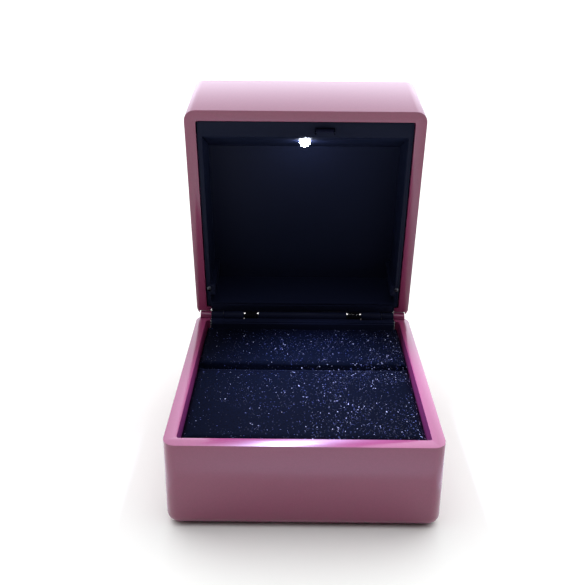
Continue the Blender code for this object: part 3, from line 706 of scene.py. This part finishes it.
class RINGBOX_OT_liners(Operator):
    """Mould the two black liners and the switch plunger"""

    bl_idname = "ringbox.liners"
    bl_label = "Moulded liners"

    def execute(self, context):
        settings = context.scene.ringbox_shell
        plastic = moulded_abs(settings)
        for node in ("base_liner", "lid_liner", "switch_plunger"):
            finish_node(node, f"{node}_moulded", plastic, settings.moulding_round)
        return {"FINISHED"}


class RINGBOX_OT_pads(Operator):
    """Swell the two velvet pads and scatter glitter on them"""

    bl_idname = "ringbox.pads"
    bl_label = "Velvet pads"

    def execute(self, context):
        settings = context.scene.ringbox_pad
        velvet = glitter_velvet()
        flake = glitter_flake()
        tree = glitter_tree("Glitter scatter")
        for index, node in enumerate(("front_cushion", "rear_cushion")):
            pad = swollen_pad(node, f"{node}_velvet", settings)
            pad.data.materials.append(velvet)
            carrier = linked(f"{node}_carrier", pad.data.copy())
            scatter = carrier.modifiers.new("Glitter", "NODES")
            scatter.node_group = tree
            values = {"Density": settings.flakes, "Flake Size": settings.flake_size}
            values.update({"Seed": settings.seed + index, "Material": flake})
            set_inputs(scatter, values)
            glitter = frozen(carrier, f"{node}_glitter")
            show(pad, node)
            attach(glitter, NODE_BODY[node])
        return {"FINISHED"}


class RINGBOX_OT_hinge(Operator):
    """Finish the hinge pins and wind the springs"""

    bl_idname = "ringbox.hinge"
    bl_label = "Sprung hinge"

    def execute(self, context):
        pin_steel = drawn_steel("Blackened_pin_steel", "#2a2b2f", 0.6)
        spring_steel = drawn_steel("Oil_black_spring_steel", "#1c1d21", 0.62)
        settings = context.scene.ringbox_hinge
        tree = spring_tree("Torsion spring")
        for side, word in ((-1, "left"), (1, "right")):
            finish_node(f"hinge_pin_{word}", f"hinge_pin_{word}_ground", pin_steel, 0.1 * MM)
            wound_spring(f"hinge_spring_{word}", side, settings.wire, settings.turns, tree, spring_steel)
        return {"FINISHED"}


class RINGBOX_OT_light(Operator):
    """Light the lens and cast its beam on the pads"""

    bl_idname = "ringbox.light"
    bl_label = "Lid light"

    def execute(self, context):
        settings = context.scene.ringbox_light
        finish_node("led_lens", "led_lens_lit", epoxy_lens(settings), 0.0)
        tinned = drawn_steel("Tinned_copper_wire", "#c4c6c8", 0.3)
        for word in ("anode", "cathode"):
            finish_node(f"led_lead_{word}", f"led_lead_{word}_tinned", tinned, 0.0)
        low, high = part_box("led_lens")
        lamp = bpy.data.lights.new("lid_beam", "SPOT")
        lamp.energy = settings.beam_watts
        lamp.color = settings.beam_tint
        lamp.spot_size = BEAM_ANGLE
        lamp.spot_blend = 1.0
        lamp.shadow_soft_size = BEAM_SOURCE
        beam = linked("lid_beam", lamp)
        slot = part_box("front_cushion")[1]
        aim = Vector((BEAM_RIGHT, slot.y - BEAM_FORWARD, slot.z))
        start = Vector(((low.x + high.x) / 2, low.y - 1.5 * MM, low.z - 1.0 * MM))
        beam.rotation_mode = "QUATERNION"
        beam.location = start
        beam.rotation_quaternion = (aim - start).to_track_quat("-Z", "Y")
        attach(beam, "lid")
        return {"FINISHED"}


class RINGBOX_OT_electronics(Operator):
    """Finish the board, the cells and the switch"""

    bl_idname = "ringbox.electronics"
    bl_label = "Electronics"

    def execute(self, context):
        mask = plain_grained("FR4_solder_mask", "#174a2d", "#1f5f3a", 2.0 * MM, 0.35, 0.01 * MM)
        finish_node("circuit_board", "circuit_board_masked", mask, 0.08 * MM)
        nickel = drawn_steel("Nickel_plated_can", "#cfcfcb", 0.22)
        steel = drawn_steel("Stamped_clip_steel", "#b4b7bb", 0.3)
        zinc = drawn_steel("Black_zinc_plate", "#5b5f66", 0.45)
        for word in ("left", "right"):
            coin_cell(f"coin_cell_{word}", f"coin_cell_{word}_plated", nickel)
            finish_node(f"battery_clip_{word}", f"battery_clip_{word}_stamped", steel, 0.08 * MM)
            finish_node(f"switch_terminal_{word}", f"switch_terminal_{word}_tinned", nickel, 0.06 * MM)
            liner_screw(f"liner_screw_{word}", f"liner_screw_{word}_zinc", zinc)
        ceramic = plain_grained("Fired_alumina_chip", "#131315", "#1d1d20", 0.4 * MM, 0.5, 0.005 * MM)
        finish_node("resistor", "resistor_fired", ceramic, 0.08 * MM)
        nylon = plain_grained("Moulded_white_nylon", "#cfccc3", "#dad8d0", 1.5 * MM, 0.5, 0.005 * MM)
        finish_node("switch_body", "switch_body_moulded", nylon, 0.1 * MM)
        return {"FINISHED"}


class RINGBOX_OT_packing(Operator):
    """Finish the felt underlay and the board under the pads"""

    bl_idname = "ringbox.packing"
    bl_label = "Underlay and board"

    def execute(self, context):
        felt = plain_grained("Pressed_black_felt", "#101012", "#202023", 0.6 * MM, 0.95, 0.1 * MM)
        finish_node("base_underlay", "base_underlay_felt", felt, 0.15 * MM)
        card = plain_grained("Pressed_grey_card", "#7f7a70", "#99948a", 0.8 * MM, 0.85, 0.03 * MM)
        finish_node("cushion_board", "cushion_board_card", card, 0.1 * MM)
        return {"FINISHED"}


class RINGBOX_OT_stage(Operator):
    """Lay the floor, hang the soft lights and set the camera"""

    bl_idname = "ringbox.stage"
    bl_label = "Stage"

    def execute(self, context):
        settings = context.scene.ringbox_stage
        bm = bmesh.new()
        bmesh.ops.create_grid(bm, x_segments=1, y_segments=1, size=FLOOR_HALF)
        floor = linked("floor", mesh_of(bm, "floor"))
        material, tree, shader = new_material("Matt_paper_floor")
        shader.inputs["Base Color"].default_value = (*settings.floor, 1)
        shader.inputs["Roughness"].default_value = 0.9
        floor.data.materials.append(material)
        context.scene.world = studio_dome(settings)
        camera(context)
        context.scene.view_settings.view_transform = "Standard"
        return {"FINISHED"}


def studio_dome(settings):
    """White studio dome, bright overhead and behind and dim in front; the camera sees plain white."""
    world = bpy.data.worlds.new("studio_dome")
    world.use_nodes = True
    tree = world.node_tree
    way = add(tree, "ShaderNodeTexCoord").outputs["Generated"]
    height = add(tree, "ShaderNodeVectorMath", {0: way, 1: DOME_WAY}, operation="DOT_PRODUCT")
    rise = {"Value": height.outputs["Value"]}
    glow = add(tree, "ShaderNodeMapRange", rise, interpolation_type="SMOOTHSTEP")
    glow.inputs["From Min"].default_value = 0.0
    glow.inputs["From Max"].default_value = DOME_EDGE
    glow.inputs["To Min"].default_value = settings.surround
    glow.inputs["To Max"].default_value = settings.dome
    seen = add(tree, "ShaderNodeLightPath").outputs["Is Camera Ray"]
    shown = add(tree, "ShaderNodeMath", {0: glow.outputs["Result"], 1: seen}, operation="MAXIMUM")
    tree.links.new(shown.outputs[0], tree.nodes["Background"].inputs["Strength"])
    tree.nodes["Background"].inputs["Color"].default_value = DOME_TINT
    return world


def camera(context):
    """Camera a little above the open box, looking down on it from the front."""
    data = bpy.data.cameras.new("camera")
    data.lens = CAMERA_LENS
    data.shift_y = CAMERA_SHIFT
    data.clip_start = 0.01
    view = linked("camera", data)
    view.location = CAMERA_PLACE
    view.rotation_euler = (math.pi / 2 - CAMERA_PITCH, 0.0, CAMERA_YAW)
    view.rotation_euler.rotate_axis("Z", CAMERA_ROLL)
    context.scene.camera = view


class RINGBOX_PT_panel(Panel):
    """Sidebar panel that lists the pieces and their settings"""

    bl_idname = "RINGBOX_PT_panel"
    bl_label = "Lit ring box"
    bl_space_type = "VIEW_3D"
    bl_region_type = "UI"
    bl_category = "Ring Box"

    def draw(self, context):
        for name in SETTINGS:
            group = getattr(context.scene, name)
            box = self.layout.box()
            for key in group.bl_rna.properties.keys():
                if key not in {"rna_type", "name"}:
                    box.prop(group, key)
        for operator in OPERATORS:
            self.layout.operator(operator.bl_idname)


SETTINGS = {
    "ringbox_shell": ShellSettings,
    "ringbox_pad": PadSettings,
    "ringbox_hinge": HingeSettings,
    "ringbox_light": LightSettings,
    "ringbox_stage": StageSettings,
}
OPERATORS = (
    RINGBOX_OT_shells,
    RINGBOX_OT_liners,
    RINGBOX_OT_pads,
    RINGBOX_OT_hinge,
    RINGBOX_OT_light,
    RINGBOX_OT_electronics,
    RINGBOX_OT_packing,
    RINGBOX_OT_stage,
)
CLASSES = (*SETTINGS.values(), *OPERATORS, RINGBOX_PT_panel)


def register():
    """Register the classes and give the scene its settings."""
    for item in CLASSES:
        bpy.utils.register_class(item)
    for name, group in SETTINGS.items():
        setattr(bpy.types.Scene, name, PointerProperty(type=group))


def unregister():
    """Take the settings and classes away again."""
    for name in SETTINGS:
        delattr(bpy.types.Scene, name)
    for item in reversed(CLASSES):
        bpy.utils.unregister_class(item)


def main():
    """Finish every piece and the stage."""
    register()
    for operator in OPERATORS:
        group, name = operator.bl_idname.split(".")
        getattr(getattr(bpy.ops, group), name)()


if __name__ == "__main__":
    main()
